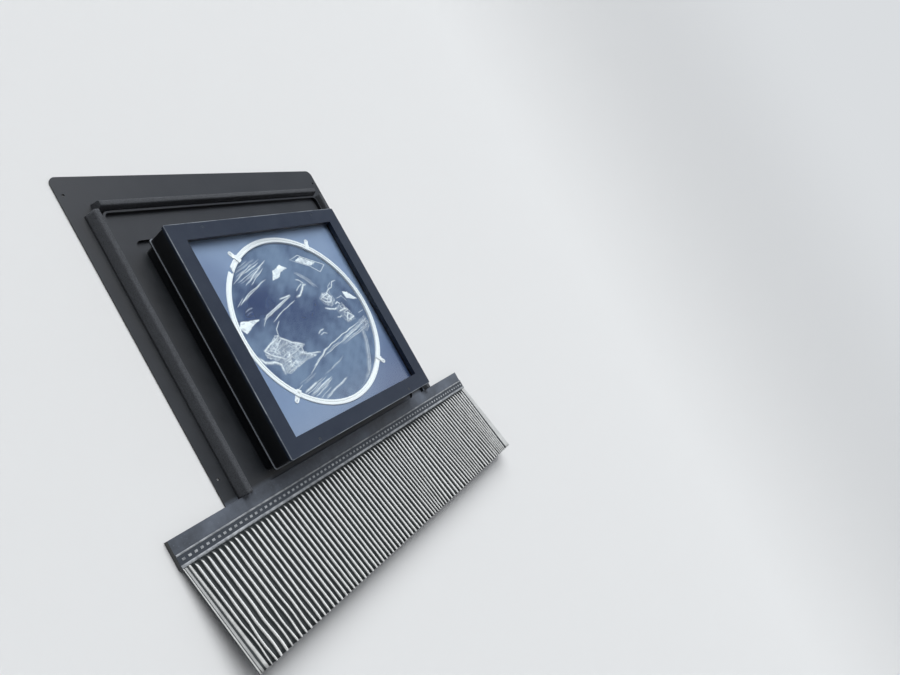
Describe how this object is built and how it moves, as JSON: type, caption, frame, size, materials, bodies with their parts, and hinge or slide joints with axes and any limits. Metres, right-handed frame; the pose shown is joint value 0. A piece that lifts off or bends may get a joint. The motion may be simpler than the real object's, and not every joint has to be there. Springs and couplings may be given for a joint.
{
  "type": "roof skylight",
  "caption": "Square fixed roof skylight: flat recessed pane over a round light opening, dark moulded tray set among the tiles, and a pleated metal apron below.",
  "frame": {"origin": "on the light tube's axis, in the plane where the tray lies on the roof", "axes": "+X to the right along the eaves, +Y up the slope, +Z off the roof, out through the pane"},
  "size_m": [0.922, 0.8685, 0.08],
  "materials": {
    "cover_lacquer": "satin lacquer, dark blue-grey",
    "screw_steel": "plain",
    "glass": "clear, flat",
    "rubber": "matt",
    "black_frame": "smooth, half gloss",
    "tray_black": "smooth, half gloss",
    "panel_grey": "fine grain, blue-grey",
    "ring_white": "smooth, white",
    "film": "crinkled clear film with a blue cast",
    "adapter_metal": "bright",
    "apron_lacquer": "half gloss lacquer, grey",
    "strip_lacquer": "satin lacquer, grey",
    "foam": "open foam, dark grey"
  },
  "bodies": {
    "root": {"cover_frame": "cover_lacquer", "cover_screws": "screw_steel", "glass_pane": "glass", "glass_gasket": "rubber", "cover_gasket": "rubber", "glazing_frame": "black_frame", "frame_screws": "screw_steel", "flashing_tray": "tray_black", "inner_panel": "panel_grey", "tube_ring": "ring_white", "ring_clip_upper_left": "ring_white", "ring_clip_upper_right": "ring_white", "ring_clip_lower_left": "ring_white", "ring_clip_lower_right": "ring_white", "protective_film": "film", "tube_adapter": "adapter_metal", "adapter_screws": "screw_steel", "apron": "apron_lacquer", "apron_strip": "strip_lacquer", "foam_left": "foam", "foam_right": "foam", "foam_top": "foam"}
  },
  "joints": []
}
